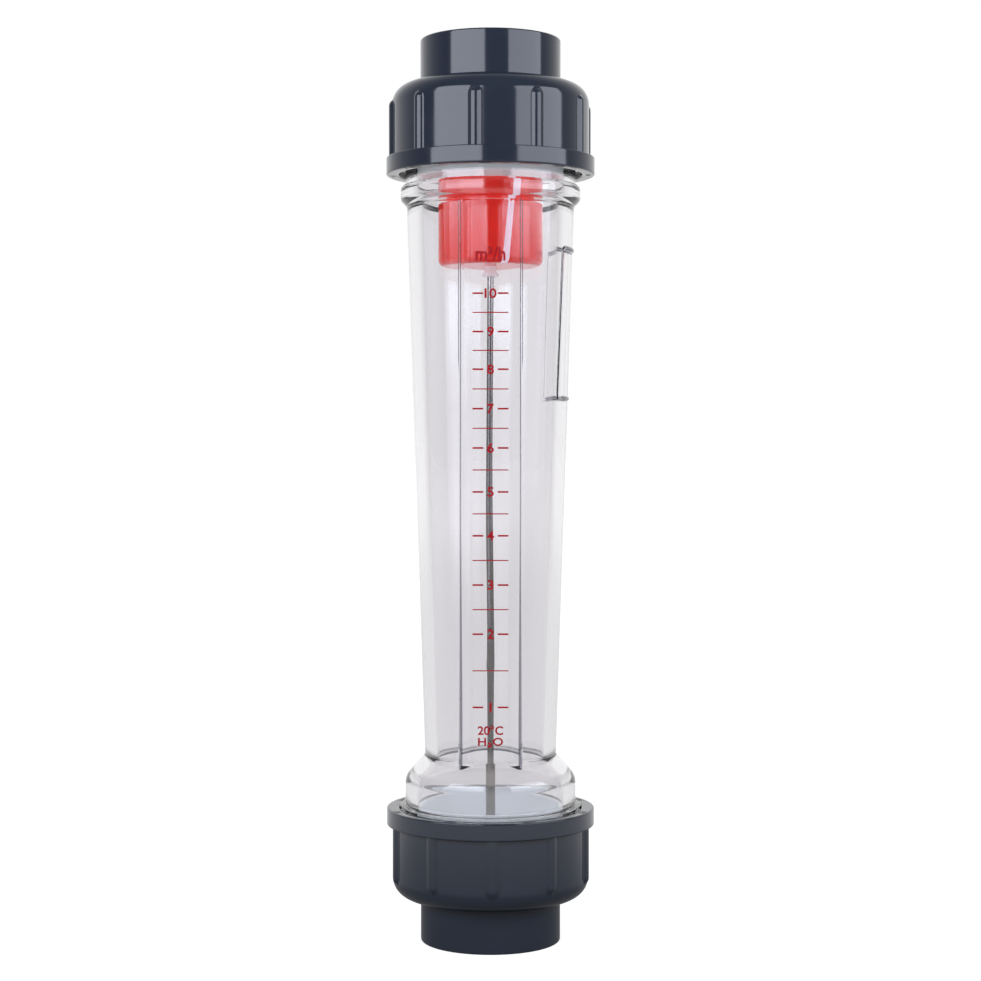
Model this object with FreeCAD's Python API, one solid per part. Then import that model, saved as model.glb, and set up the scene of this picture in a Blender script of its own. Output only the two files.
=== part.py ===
"""Plastic-tube rotameter for a pipeline: a clear tapered tube between two union ends.

Sizes are in millimetres. +Z is up along the tube, -Y is the side with the flow scale.
The origin is the centre of the lower socket's rim. Both union ends are the same set of
pieces: they are drawn at the lower end and turned over for the upper one.
"""
import FreeCAD, Part
import math
import os
from FreeCAD import Vector

# Overall
total_length = 476.0            # socket rim to socket rim

# Fits
running_gap = 0.3               # between pieces that turn or slide on each other
seat_gap = 0.1                  # round a piece that is dropped into its seat

# Edges
fine_edge = 0.5                 # bevel on a small edge
plain_edge = 0.8                # bevel on the other edges
overlap = 1.0                   # how far a piece that is joined or cut away reaches past the surface

# Pipe socket of a tailpiece
pipe_radius = 31.5
socket_gap = 0.1                # room for the cement round the pipe
socket_wall = 5.4
socket_depth = 38.0
socket_lead_in = 1.0            # chamfer at the mouth
pipe_stop_width = 4.6           # step that the pipe's end meets
pipe_stop_edge = 1.0            # chamfer where the liquid leaves the stop

# Union nut
nut_setback = 23.5              # socket rim to the nut's closed end
nut_height = 47.5
nut_end_wall = 7.0
nut_wall = 3.7                  # wall outside the thread
nut_end_round = 10.5
nut_lip_height = 9.0
nut_lip_step = 3.0              # how far the lip stands out from the nut's body
nut_bore_corner = 1.0           # bevel at the closed end of the thread
grip_rib_count = 10
grip_rib_radius = 3.6
grip_rib_rise = 1.9
grip_rib_end_gap = 8.5          # closed end of the nut to the ribs' tips
pocket_count = 8
pocket_depth = 6.0
pocket_width = 2.6
pocket_length = 6.4
pocket_phase = 21.6             # degrees from a rib to a pocket
lower_nut_angle = 0.9           # degrees from the scale side to the first rib
upper_nut_angle = 63.1

# Collar of a tailpiece and its seal
collar_height = 12.0
collar_gap = 1.2                # collar to the nut's thread
seal_section = 3.6
seal_squeeze = 0.7
seal_inset = 3.7                # collar's edge to the middle of the seal
seal_flat = 0.1                 # flat that is left on the side of the squeezed seal

# Clear measuring tube
thread_radius = 48.0
thread_end_chamfer = 1.2
nut_lip_to_collar = 1.3         # how far the threaded end stands out of the nut
neck_inset = 2.9                # thread to neck
lower_neck_height = 15.1
cavity_inset = 1.3              # the guides' seat to the hollow inside both ends
tube_bottom_radius = 34.7
tube_top_radius = 44.0
bore_bottom_radius = 28.2
bore_top_radius = 36.0
flare_height = 11.8
flare_edge_round = 3.0
bore_foot_setback = 2.2         # foot of the taper to the foot of the bore
cavity_corner = 2.0             # bevel between the lower hollow and its cone
bead_inset = 0.6                # thread to bead
bead_height = 11.5
bead_top_round = 2.4
bead_chamfer = 3.6
bead_foot_edge = 1.2
bead_setback = 4.9              # upper nut's mouth to the bead
upper_collar_depth = 2.0        # upper nut's mouth to the end of the thread inside it
upper_neck_inset = 3.1          # thread to the upper neck
bore_top_setback = 0.5          # bead to the top of the bore
bore_lead_out = 2.7

# Flat face with the flow scale
scale_half_width = 15.6
scale_top_distance = 41.7       # axis to the flat at the top of the tapered part
scale_bottom_distance = 35.1    # the same at its foot
scale_edge = 0.5                # bevel along both sides of the flat
scale_foot_depth = 3.0          # how far the thick wall under the flat reaches into the flare
scale_wall = 1.3                # that wall's inner side to the bore

# Raised frame of the type plate, which is moulded on the tube's right side
plate_drop = 18.9               # top of the tapered part to the frame
plate_height = 79.8
plate_half_width = 21.1         # as seen from that side
plate_rise = 0.8
plate_border = 1.8

# Rod and the guides that hold it
rod_radius = 2.5
rod_gap = 0.05
guide_wall = 2.0
guide_height = 30.4
guide_flange_height = 4.0
guide_seat_radius = 40.0
guide_arm_count = 3
guide_arm_width = 3.6
hub_radius = 7.0
hub_height = 6.0
hub_lift = 1.5                  # joint face to the hub's near end
washer_radius = 5.0
washer_height = 1.0
rod_nut_across_flats = 8.0
rod_nut_height = 2.7
rod_end_past_nut = 0.4

# Float
float_radius = 27.6
float_height = 47.0
float_head_height = 6.4
float_neck_height = 4.3
float_neck_radius = 23.2
float_edge_round = 3.2
core_radius = 20.6
core_end_wall = 4.5
core_bore_gap = 0.5             # core to the rod, more than the bushes have
bush_radius = 4.6
bush_flange_radius = 6.4
bush_flange_height = 1.8
float_groove_count = 2
float_groove_width = 5.0
float_groove_depth = 5.0        # through the skin, and a little into the neck
float_groove_top_angle = 34.0   # degrees from the scale side
float_groove_foot_angle = 21.0
stop_radius = 6.5
lower_buffer_height = 1.5
upper_stop_length = 23.7

# Places that follow from the sizes above
socket_radius = pipe_radius + socket_gap
tail_radius = socket_radius + socket_wall
nut_bore_radius = thread_radius + running_gap
nut_radius = nut_bore_radius + nut_wall
nut_lip_radius = nut_radius + nut_lip_step
nut_mouth = nut_setback + nut_height
collar_seat = nut_setback + nut_end_wall
joint_face = collar_seat + collar_height
collar_radius = nut_bore_radius - collar_gap
seal_mean_radius = collar_radius - seal_inset
flow_radius = socket_radius - pipe_stop_width
cavity_radius = guide_seat_radius - cavity_inset
guide_radius = cavity_radius - seat_gap
guide_flange_radius = guide_seat_radius - seat_gap
hub_near_end = joint_face + hub_lift
hub_far_end = hub_near_end + hub_height
neck_radius = thread_radius - neck_inset
bead_radius = thread_radius - bead_inset
thread_far_end = nut_mouth + nut_lip_to_collar
lower_neck_top = thread_far_end + lower_neck_height
upper_nut_mouth = total_length - nut_mouth
upper_thread_end = upper_nut_mouth + upper_collar_depth
bead_top = upper_nut_mouth - bead_setback
bead_foot = bead_top - bead_height
taper_top = bead_foot - bead_chamfer
upper_neck_radius = thread_radius - upper_neck_inset
taper_foot = lower_neck_top + flare_height
bore_foot = taper_foot - bore_foot_setback
cavity_top = bore_foot - (cavity_radius - bore_bottom_radius)
bore_top = bead_foot - bore_top_setback
plate_bottom = taper_top - plate_drop - plate_height
upper_stop_foot = total_length - hub_far_end - upper_stop_length
float_top = upper_stop_foot - running_gap - bush_flange_height
float_foot = float_top - float_height
float_head_foot = float_top - float_head_height
float_neck_foot = float_head_foot - float_neck_height
rod_hole_radius = rod_radius + rod_gap
float_hole_radius = rod_radius + running_gap


def corner_arc(before, corner, after, radius):
    """The arc that rounds one corner of a profile."""
    to_before = (before - corner).normalize()
    to_after = (after - corner).normalize()
    half = to_before.getAngle(to_after) / 2
    back = radius / math.tan(half)
    middle = (to_before + to_after).normalize() * (radius / math.sin(half) - radius)
    return Part.Arc(corner + to_before * back, corner + middle, corner + to_after * back)


def profile(points):
    """A face in the XZ half plane.

    A point is (radius, height), (radius, height, cut) where its edge is bevelled by cut,
    or (radius, height, round, "round") where it is rounded.
    """
    corners = [Vector(p[0], 0, p[1]) for p in points]
    ends = []
    edges = []
    for i, p in enumerate(points):
        before = Vector(corners[i - 1])
        corner = Vector(corners[i])
        after = Vector(corners[(i + 1) % len(points)])
        if len(p) == 4:
            arc = corner_arc(before, corner, after, p[2])
            ends.append((arc.StartPoint, arc.EndPoint, arc.toShape()))
        elif len(p) == 3:
            first = corner + (before - corner).normalize() * p[2]
            last = corner + (after - corner).normalize() * p[2]
            ends.append((first, last, Part.LineSegment(first, last).toShape()))
        else:
            ends.append((corner, corner, None))
    for i, (first, last, edge) in enumerate(ends):
        following = ends[(i + 1) % len(ends)][0]
        if edge is not None:
            edges.append(edge)
        if (following - last).Length > 1e-6:
            edges.append(Part.LineSegment(last, following).toShape())
    return Part.Face(Part.Wire(edges))


def turned(points, angle=360.0):
    """A solid of revolution about Z."""
    return profile(points).revolve(Vector(0, 0, 0), Vector(0, 0, 1), angle)


def ring(inner, outer, low, high):
    """A plain ring, or a disc where inner is 0."""
    body = Part.makeCylinder(outer, high - low, Vector(0, 0, low))
    if inner > 0:
        body = body.cut(Part.makeCylinder(inner, high - low, Vector(0, 0, low)))
    return body


def around(shape, angle):
    """A copy of shape turned about Z, in degrees, from the scale side towards +X."""
    copy = shape.copy()
    copy.rotate(Vector(0, 0, 0), Vector(0, 0, 1), angle)
    return copy


def upper(shape, angle=0.0):
    """A copy of a lower end's piece, turned over for the upper end."""
    copy = shape.copy()
    copy.rotate(Vector(0, 0, 0), Vector(1, 0, 0), 180)
    copy.translate(Vector(0, 0, total_length))
    return around(copy, angle)


def taper_radius(height):
    """Outer radius of the tube's tapered part."""
    share = (height - taper_foot) / (taper_top - taper_foot)
    return tube_bottom_radius + share * (tube_top_radius - tube_bottom_radius)


def scale_distance(height):
    """Distance of the scale's flat from the axis."""
    share = (height - taper_foot) / (taper_top - taper_foot)
    return scale_bottom_distance + share * (scale_top_distance - scale_bottom_distance)


def tailpiece():
    """Pipe socket with the collar that the nut clamps, and the seal's groove in its face."""
    groove_inner = seal_mean_radius - seal_section / 2 - seat_gap
    groove_outer = seal_mean_radius + seal_section / 2 + seat_gap
    groove_floor = joint_face - (seal_section - seal_squeeze)
    return turned([
        (socket_radius + socket_lead_in, 0),
        (tail_radius, 0, fine_edge),
        (tail_radius, collar_seat),
        (collar_radius, collar_seat, plain_edge),
        (collar_radius, joint_face, fine_edge),
        (groove_outer, joint_face),
        (groove_outer, groove_floor),
        (groove_inner, groove_floor),
        (groove_inner, joint_face),
        (flow_radius, joint_face, pipe_stop_edge),
        (flow_radius, socket_depth),
        (socket_radius, socket_depth),
        (socket_radius, socket_lead_in),
    ])


def seal():
    """O-ring, squeezed to the height of its groove."""
    half_width = seal_section / 2
    top = joint_face - seat_gap
    floor = joint_face - (seal_section - seal_squeeze)
    corner = (top - floor - seal_flat) / 2
    return turned([
        (seal_mean_radius - half_width, floor, corner),
        (seal_mean_radius + half_width, floor, corner),
        (seal_mean_radius + half_width, top, corner),
        (seal_mean_radius - half_width, top, corner),
    ])


def grip_rib():
    """Half-round grip rib with a domed tip, on the scale side of the nut."""
    centre = nut_radius + grip_rib_rise - grip_rib_radius
    tip = nut_setback + grip_rib_end_gap + grip_rib_radius
    foot = nut_mouth - nut_lip_height
    bar = Part.makeCylinder(grip_rib_radius, foot - tip, Vector(0, -centre, tip))
    return bar.fuse(Part.makeSphere(grip_rib_radius, Vector(0, -centre, tip)))


def rim_pocket():
    """One of the moulded pockets in the nut's open rim."""
    middle = (nut_bore_radius + nut_lip_radius) / 2
    return Part.makeBox(
        pocket_length, pocket_width, pocket_depth,
        Vector(-pocket_length / 2, -middle - pocket_width / 2, nut_mouth - pocket_depth),
    )


def union_nut():
    """Union nut: domed end wall, grip ribs, and a wide lip at its open end."""
    lip_foot = nut_mouth - nut_lip_height
    nut = turned([
        (tail_radius + running_gap, nut_setback),
        (nut_radius, nut_setback, nut_end_round, "round"),
        (nut_radius, lip_foot),
        (nut_lip_radius, lip_foot, plain_edge),
        (nut_lip_radius, nut_mouth, plain_edge),
        (nut_bore_radius, nut_mouth, plain_edge),
        (nut_bore_radius, collar_seat, nut_bore_corner),
        (tail_radius + running_gap, collar_seat),
    ])
    rib = grip_rib()
    ribs = [around(rib, i * 360.0 / grip_rib_count) for i in range(grip_rib_count)]
    nut = nut.fuse(ribs)
    bore_end = collar_seat + nut_bore_corner
    nut = nut.cut(Part.makeCylinder(nut_bore_radius, nut_mouth - bore_end, Vector(0, 0, bore_end)))
    pocket = rim_pocket()
    for i in range(pocket_count):
        nut = nut.cut(around(pocket, pocket_phase + i * 360.0 / pocket_count))
    return nut.removeSplitter()


def rod_guide():
    """White liner in the tube's mouth, with a flange and three arms that hold the rod's hub."""
    liner = turned([
        (guide_radius - guide_wall, joint_face),
        (guide_flange_radius, joint_face),
        (guide_flange_radius, joint_face + guide_flange_height),
        (guide_radius, joint_face + guide_flange_height),
        (guide_radius, joint_face + guide_height, fine_edge),
        (guide_radius - guide_wall, joint_face + guide_height, fine_edge),
    ])
    hub = Part.makeCylinder(hub_radius, hub_height, Vector(0, 0, hub_near_end))
    arm = Part.makeBox(
        guide_arm_width, guide_radius - guide_wall / 2, guide_flange_height - hub_lift,
        Vector(-guide_arm_width / 2, 0, hub_near_end),
    )
    arms = [around(arm, i * 360.0 / guide_arm_count) for i in range(guide_arm_count)]
    body = liner.fuse([hub] + arms)
    body = body.cut(Part.makeCylinder(rod_hole_radius, total_length, Vector(0, 0, 0)))
    return body.removeSplitter()


def rod_washer():
    return ring(rod_hole_radius, washer_radius, hub_near_end - washer_height, hub_near_end)


def rod_nut():
    """Hexagon nut on the rod's end, seated on its washer."""
    top = hub_near_end - washer_height
    corner_radius = rod_nut_across_flats / math.sqrt(3)
    corners = [
        Vector(corner_radius * math.cos(math.radians(a)), corner_radius * math.sin(math.radians(a)),
               top - rod_nut_height)
        for a in range(0, 361, 60)
    ]
    hexagon = Part.Face(Part.makePolygon(corners)).extrude(Vector(0, 0, rod_nut_height))
    rounding = turned([
        (0, top - rod_nut_height),
        (rod_nut_across_flats / 2, top - rod_nut_height),
        (corner_radius, top - rod_nut_height + fine_edge),
        (corner_radius, top),
        (0, top),
    ])
    hole = Part.makeCylinder(rod_hole_radius, rod_nut_height, Vector(0, 0, top - rod_nut_height))
    return hexagon.common(rounding).cut(hole)


def guide_rod():
    """Straight rod from one rod guide to the other, chamfered at both ends."""
    low = hub_near_end - washer_height - rod_nut_height - rod_end_past_nut
    high = total_length - low
    return turned([
        (0, low),
        (rod_radius - fine_edge, low),
        (rod_radius, low + fine_edge),
        (rod_radius, high - fine_edge),
        (rod_radius - fine_edge, high),
        (0, high),
    ])


def tube_body():
    """Clear tube without its scale flat: threaded ends, flare, taper, bead and bore."""
    upper_face = total_length - joint_face
    lower_seat = joint_face + guide_flange_height
    upper_seat = upper_face - guide_flange_height
    return turned([
        (guide_seat_radius, joint_face),
        (thread_radius - thread_end_chamfer, joint_face),
        (thread_radius, joint_face + thread_end_chamfer),
        (thread_radius, thread_far_end, fine_edge),
        (neck_radius, thread_far_end, plain_edge),
        (neck_radius, lower_neck_top, flare_edge_round, "round"),
        (tube_bottom_radius, taper_foot, plain_edge),
        (tube_top_radius, taper_top, plain_edge),
        (bead_radius, bead_foot, bead_foot_edge),
        (bead_radius, bead_top, bead_top_round, "round"),
        (upper_neck_radius, bead_top),
        (upper_neck_radius, upper_thread_end),
        (thread_radius, upper_thread_end, fine_edge),
        (thread_radius, upper_face - thread_end_chamfer),
        (thread_radius - thread_end_chamfer, upper_face),
        (guide_seat_radius, upper_face),
        (guide_seat_radius, upper_seat),
        (cavity_radius, upper_seat),
        (cavity_radius, bore_top + bore_lead_out, fine_edge),
        (bore_top_radius, bore_top, fine_edge),
        (bore_bottom_radius, bore_foot, fine_edge),
        (cavity_radius, cavity_top, cavity_corner),
        (cavity_radius, lower_seat),
        (guide_seat_radius, lower_seat),
    ])


def scale_pad():
    """Thick wall under the scale's flat, which grows out of the taper towards the foot."""
    low = bore_foot - scale_foot_depth
    high = taper_top
    hollow_radius = bore_bottom_radius + scale_foot_depth
    outline = [
        Vector(-scale_half_width, -scale_distance(low), low),
        Vector(-scale_half_width, -scale_distance(high), high),
        Vector(-scale_half_width, -bore_top_radius - scale_wall, high),
        Vector(-scale_half_width, -hollow_radius - scale_wall, low),
    ]
    side = Part.Face(Part.makePolygon(outline + [outline[0]]))
    wall = side.extrude(Vector(2 * scale_half_width, 0, 0))
    flat_middle = Vector(0, -scale_distance((low + high) / 2), (low + high) / 2)
    flat_sides = [
        edge for edge in wall.Edges
        if abs((edge.CenterOfMass - flat_middle).Length - scale_half_width) < 1e-6
    ]
    return wall.makeChamfer(scale_edge, flat_sides)


def scale_trim():
    """What the flat takes off the upper part of the taper."""
    low = taper_foot + overlap
    high = taper_top
    outside = -tube_top_radius - overlap
    outline = [
        Vector(-scale_half_width, -scale_distance(low), low),
        Vector(-scale_half_width, -scale_distance(high), high),
        Vector(-scale_half_width, outside, high),
        Vector(-scale_half_width, outside, low),
    ]
    side = Part.Face(Part.makePolygon(outline + [outline[0]]))
    return side.extrude(Vector(2 * scale_half_width, 0, 0))


def plate_box(inset):
    """What the type plate covers as seen from its side, less inset at its four edges."""
    half_width = plate_half_width - inset
    return Part.makeBox(
        tube_top_radius + plate_rise, 2 * half_width, plate_height - 2 * inset,
        Vector(0, -half_width, plate_bottom + inset),
    )


def plate_frame():
    """Raised border round the bare type plate, which follows the taper."""
    low = plate_bottom
    high = plate_bottom + plate_height
    skin = turned([
        (taper_radius(low) - overlap, low),
        (taper_radius(low) + plate_rise, low),
        (taper_radius(high) + plate_rise, high),
        (taper_radius(high) - overlap, high),
    ])
    return skin.common(plate_box(0.0)).cut(plate_box(plate_border))


def measuring_tube():
    """The clear tube with its scale flat and the type plate's raised frame."""
    body = tube_body().fuse(scale_pad())
    body = body.cut(scale_trim())
    return body.fuse(plate_frame()).removeSplitter()


def groove_cutter():
    """One of the leaning grooves that make the float spin, over the float's whole height."""
    floor = float_radius - float_groove_depth

    def section(height, angle):
        corners = [
            Vector(-float_groove_width / 2, -floor, height),
            Vector(float_groove_width / 2, -floor, height),
            Vector(float_groove_width / 2, -float_radius - float_groove_depth, height),
            Vector(-float_groove_width / 2, -float_radius - float_groove_depth, height),
        ]
        return around(Part.makePolygon(corners + [corners[0]]), angle)

    foot = section(float_foot, float_groove_foot_angle)
    top = section(float_top, float_groove_top_angle)
    return Part.makeLoft([foot, top], True, True)


def grooved(shape):
    """shape with the float's leaning grooves cut into it."""
    cutter = groove_cutter()
    for i in range(float_groove_count):
        shape = shape.cut(around(cutter, i * 360.0 / float_groove_count))
    return shape


def float_body():
    """Red cup of the float, with its neck and its leaning grooves."""
    cup = turned([
        (bush_radius + seat_gap, float_foot),
        (float_radius, float_foot, float_edge_round, "round"),
        (float_radius, float_neck_foot, fine_edge),
        (float_neck_radius, float_neck_foot),
        (float_neck_radius, float_head_foot),
        (core_radius + seat_gap, float_head_foot),
        (core_radius + seat_gap, float_foot + core_end_wall),
        (bush_radius + seat_gap, float_foot + core_end_wall),
    ])
    return grooved(cup).removeSplitter()


def float_head():
    """Red disc that closes the cup. Its upper edge is the edge that the scale is read at."""
    disc = turned([
        (bush_radius + seat_gap, float_head_foot),
        (float_radius, float_head_foot, plain_edge),
        (float_radius, float_top, plain_edge),
        (bush_radius + seat_gap, float_top),
    ])
    return grooved(disc).removeSplitter()


def float_core():
    """Steel weight inside the cup, bored for the two bushes and the rod."""
    foot = float_foot + core_end_wall
    return ring(float_hole_radius + core_bore_gap, core_radius, foot, float_head_foot)


def float_bush(end, direction):
    """Flanged guide bush in one end of the float. direction is 1 into the float from below."""
    flange_out = end - direction * bush_flange_height
    shank_in = end + direction * core_end_wall
    flange = ring(float_hole_radius, bush_flange_radius, min(end, flange_out), max(end, flange_out))
    shank = ring(float_hole_radius, bush_radius, min(end, shank_in), max(end, shank_in))
    return flange.fuse(shank).removeSplitter()


def lower_buffer():
    """Soft washer on the lower hub, where the float comes down."""
    return ring(rod_hole_radius, stop_radius, hub_far_end, hub_far_end + lower_buffer_height)


def upper_stop_sleeve():
    """Sleeve on the rod that stops the float at the top of its travel."""
    return ring(rod_hole_radius, stop_radius, upper_stop_foot, upper_stop_foot + upper_stop_length)


def pieces():
    """Every node by name."""
    lower_nut = around(union_nut(), lower_nut_angle)
    return {
        "measuring_tube": measuring_tube(),
        "lower_tailpiece": tailpiece(),
        "upper_tailpiece": upper(tailpiece()),
        "lower_union_nut": lower_nut,
        "upper_union_nut": upper(union_nut(), 180 + upper_nut_angle),
        "lower_o_ring": seal(),
        "upper_o_ring": upper(seal()),
        "lower_rod_guide": rod_guide(),
        "upper_rod_guide": upper(rod_guide(), 180),
        "guide_rod": guide_rod(),
        "lower_rod_washer": rod_washer(),
        "upper_rod_washer": upper(rod_washer()),
        "lower_rod_nut": rod_nut(),
        "upper_rod_nut": upper(rod_nut()),
        "lower_float_buffer": lower_buffer(),
        "upper_stop_sleeve": upper_stop_sleeve(),
        "float_body": float_body(),
        "float_head": float_head(),
        "float_core": float_core(),
        "lower_float_bush": float_bush(float_foot, 1),
        "upper_float_bush": float_bush(float_top, -1),
    }


os.makedirs("parts", exist_ok=True)
for node, shape in pieces().items():
    shape.exportStep("parts/" + node + ".step")
    print(node, len(shape.Solids), shape.isValid(), round(shape.Volume))
print("float travel", round(float_foot - bush_flange_height
                            - (hub_far_end + lower_buffer_height + running_gap), 3))
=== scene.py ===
# %% [markdown]
# # A clear plastic flow meter between two pipe unions
#
# The meter is a clear tapered tube. A red float rides on a steel rod inside it, and a printed scale on
# the tube's flat front says how much water flows. A dark union with a ribbed nut closes each end.
# The engineering model fixes every size and place, and this script gives it its surfaces, its print,
# its light and a camera. Blender counts in metres. Sizes below are in millimetres, and MM converts them.

import math

import bmesh
import bpy
from mathutils import Matrix, Vector


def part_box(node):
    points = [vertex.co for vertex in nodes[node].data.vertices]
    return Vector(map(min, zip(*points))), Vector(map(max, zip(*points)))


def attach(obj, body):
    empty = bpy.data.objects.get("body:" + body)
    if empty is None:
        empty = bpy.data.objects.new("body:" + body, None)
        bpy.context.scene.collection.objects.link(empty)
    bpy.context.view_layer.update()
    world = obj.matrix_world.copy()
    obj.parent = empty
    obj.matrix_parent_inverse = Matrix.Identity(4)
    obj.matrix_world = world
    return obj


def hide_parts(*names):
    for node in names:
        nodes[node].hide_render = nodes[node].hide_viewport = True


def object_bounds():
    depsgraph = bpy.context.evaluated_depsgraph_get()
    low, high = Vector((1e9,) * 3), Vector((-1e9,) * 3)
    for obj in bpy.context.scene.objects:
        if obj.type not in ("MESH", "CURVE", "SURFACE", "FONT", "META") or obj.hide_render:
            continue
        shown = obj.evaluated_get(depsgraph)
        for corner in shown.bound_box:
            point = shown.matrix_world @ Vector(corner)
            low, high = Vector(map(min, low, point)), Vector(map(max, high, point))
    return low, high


MM = 0.001
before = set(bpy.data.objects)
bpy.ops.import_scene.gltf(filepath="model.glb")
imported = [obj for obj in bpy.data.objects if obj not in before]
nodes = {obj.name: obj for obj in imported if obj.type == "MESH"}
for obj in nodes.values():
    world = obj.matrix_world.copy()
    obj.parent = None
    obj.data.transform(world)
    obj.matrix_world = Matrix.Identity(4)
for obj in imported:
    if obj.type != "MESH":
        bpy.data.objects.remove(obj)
cad_low, cad_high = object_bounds()
meter_height = cad_high[2] - cad_low[2]
print("meter", round(meter_height / MM, 1), "mm tall with", len(nodes), "nodes")

# %% [markdown]
# ## Camera
#
# A long lens from about a metre away, level with the upper half of the tube, keeps the meter's sides
# almost parallel. From there the upper nut is seen a little from below and the lower one a little from
# above, as in a studio picture of a tall product.

# %% Camera
camera_distance = 1113 * MM
camera_height = 263 * MM
aim_height = 238.7 * MM

camera_data = bpy.data.cameras.new("camera")
camera_data.lens = 77.06
camera_data.sensor_width = 36.0
camera = bpy.data.objects.new("camera", camera_data)
bpy.context.collection.objects.link(camera)
camera.location = (0, -camera_distance, camera_height)
camera.rotation_euler = (math.pi / 2 - math.atan((camera_height - aim_height) / camera_distance), 0, 0)
bpy.context.scene.camera = camera
bpy.context.scene.view_settings.view_transform = "Standard"
print("camera", round(camera_distance, 3), "m away")

# %% [markdown]
# ## World
#
# Clear plastic shows what stands behind it and gloss shows what stands in front, so the surroundings
# are half of the finish. Here the space behind the meter is white. The space in front, where the camera
# would stand in a dark studio, is dim, and that gives the dark plastic its deep tone between the lamps.
# What the camera itself sees is plain white.

# %% World
room_front = 0.09
room_side = 0.36
room_back = 1.0
room_turns = (0.42, 0.60, 0.90)     # where these are reached, from 0 in front to 1 behind


def value_node(tree, kind, *links, **settings):
    """A node with its first inputs linked or set in order, and its settings."""
    node = tree.nodes.new(kind)
    for name, value in settings.items():
        setattr(node, name, value)
    for i, link in enumerate(links):
        if isinstance(link, bpy.types.NodeSocket):
            tree.links.new(link, node.inputs[i])
        elif link is not None:
            node.inputs[i].default_value = link
    return node


def grey_ramp(tree, link, stops, interpolation="LINEAR"):
    """A ramp of brightness over 0 to 1, from its (position, brightness) stops."""
    node = value_node(tree, "ShaderNodeValToRGB", link)
    ramp = node.color_ramp
    ramp.interpolation = interpolation
    ramp.elements.remove(ramp.elements[1])
    for i, (position, value) in enumerate(stops):
        stop = ramp.elements.new(position) if i else ramp.elements[0]
        stop.position = position
        stop.color = (value, value, value, 1)
    return node.outputs["Color"]


def new_group(name, inputs, outputs):
    """A shader node group, with its input and output nodes. An input that has no value is a vector."""
    group = bpy.data.node_groups.new(name, "ShaderNodeTree")
    for socket, value in inputs.items():
        kind = "NodeSocketVector" if value is None else "NodeSocketFloat"
        made = group.interface.new_socket(name=socket, in_out="INPUT", socket_type=kind)
        if value is not None:
            made.default_value = value
    for socket in outputs:
        group.interface.new_socket(name=socket, in_out="OUTPUT", socket_type="NodeSocketFloat")
    return group, group.nodes.new("NodeGroupInput"), group.nodes.new("NodeGroupOutput")


def make_room():
    """Brightness of the surroundings in a direction: the floor uses it too, so no horizon shows."""
    group, given, result = new_group("room", {"Direction": None}, ("Brightness",))
    unit = value_node(group, "ShaderNodeVectorMath", given.outputs["Direction"], operation="NORMALIZE")
    split = value_node(group, "ShaderNodeSeparateXYZ", unit.outputs[0])
    backness = value_node(group, "ShaderNodeMapRange", split.outputs["Y"], -1.0, 1.0, 0.0, 1.0)
    brightness = grey_ramp(group, backness.outputs[0], zip(room_turns, (room_front, room_side, room_back)))
    group.links.new(brightness, result.inputs["Brightness"])
    return group


def make_world():
    world = bpy.data.worlds.new("studio")
    world.use_nodes = True
    tree = world.node_tree
    tree.nodes.clear()
    place = tree.nodes.new("ShaderNodeTexCoord")
    around = value_node(tree, "ShaderNodeGroup", node_tree=room_group)
    tree.links.new(place.outputs["Generated"], around.inputs["Direction"])
    rays = tree.nodes.new("ShaderNodeLightPath")
    brightness = value_node(tree, "ShaderNodeMath", around.outputs[0], rays.outputs["Is Camera Ray"],
                            operation="MAXIMUM")
    white = value_node(tree, "ShaderNodeBackground", (1, 1, 1, 1), brightness.outputs[0])
    out = tree.nodes.new("ShaderNodeOutputWorld")
    tree.links.new(white.outputs[0], out.inputs["Surface"])
    bpy.context.scene.world = world
    print("world", world.name, "from", room_front, "in front to", room_back, "behind")


room_group = make_room()
make_world()

# %% [markdown]
# ## Soft boxes
#
# Two tall soft boxes stand to the left and right of the camera, the right one a little weaker. Their hard
# sides show as pale upright bands on the upper nut and socket. Their lower parts, which only the rod and
# the clear tube mirror, are much dimmer, like a sheet that hangs down in front of the box. Both fade out
# towards the floor.

# %% Soft boxes
box_distance = 1.6
box_top = 1.45
box_radiance = 3.7
box_colour = (0.95, 1.0, 1.12)
sheet_share = 0.22              # brightness of the lower part
sheet_top = 0.41
box_full = 0.56                 # height from which a box has its full brightness
box_fade = 0.07


def add_soft_box(name, from_angle, to_angle, bottom, power=1.0):
    """A rectangular lamp that fills the directions between two angles, 0 being the camera's side."""
    middle = math.radians((from_angle + to_angle) / 2)
    half = math.radians((to_angle - from_angle) / 2)
    lamp = bpy.data.lights.new(name, "AREA")
    lamp.shape = "RECTANGLE"
    lamp.size = 2 * box_distance * math.tan(half)
    lamp.size_y = box_top - bottom
    lamp.energy = power * box_radiance * 4 * lamp.size * lamp.size_y
    lamp.color = box_colour
    lamp.use_nodes = True
    tree = lamp.node_tree
    place = tree.nodes.new("ShaderNodeNewGeometry")
    split = value_node(tree, "ShaderNodeSeparateXYZ", place.outputs["Position"])
    share = value_node(tree, "ShaderNodeMapRange", split.outputs["Z"], bottom, box_top, 0.0, 1.0)
    stops = [(0.0, 0.0)]
    for height, strength in ((bottom + box_fade, sheet_share), (sheet_top, sheet_share), (box_full, 1.0)):
        stops.append(((height - bottom) / (box_top - bottom), strength))
    brightness = grey_ramp(tree, share.outputs[0], stops + [(1.0, 1.0)], "EASE")
    tree.links.new(brightness, tree.nodes["Emission"].inputs["Strength"])
    obj = bpy.data.objects.new(name, lamp)
    bpy.context.collection.objects.link(obj)
    height = (box_top + bottom) / 2
    obj.location = (box_distance * math.sin(middle), -box_distance * math.cos(middle), height)
    obj.rotation_euler = (math.pi / 2, 0, middle)
    obj.visible_camera = False
    print(name, round(lamp.energy), "W")
    return obj


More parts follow.
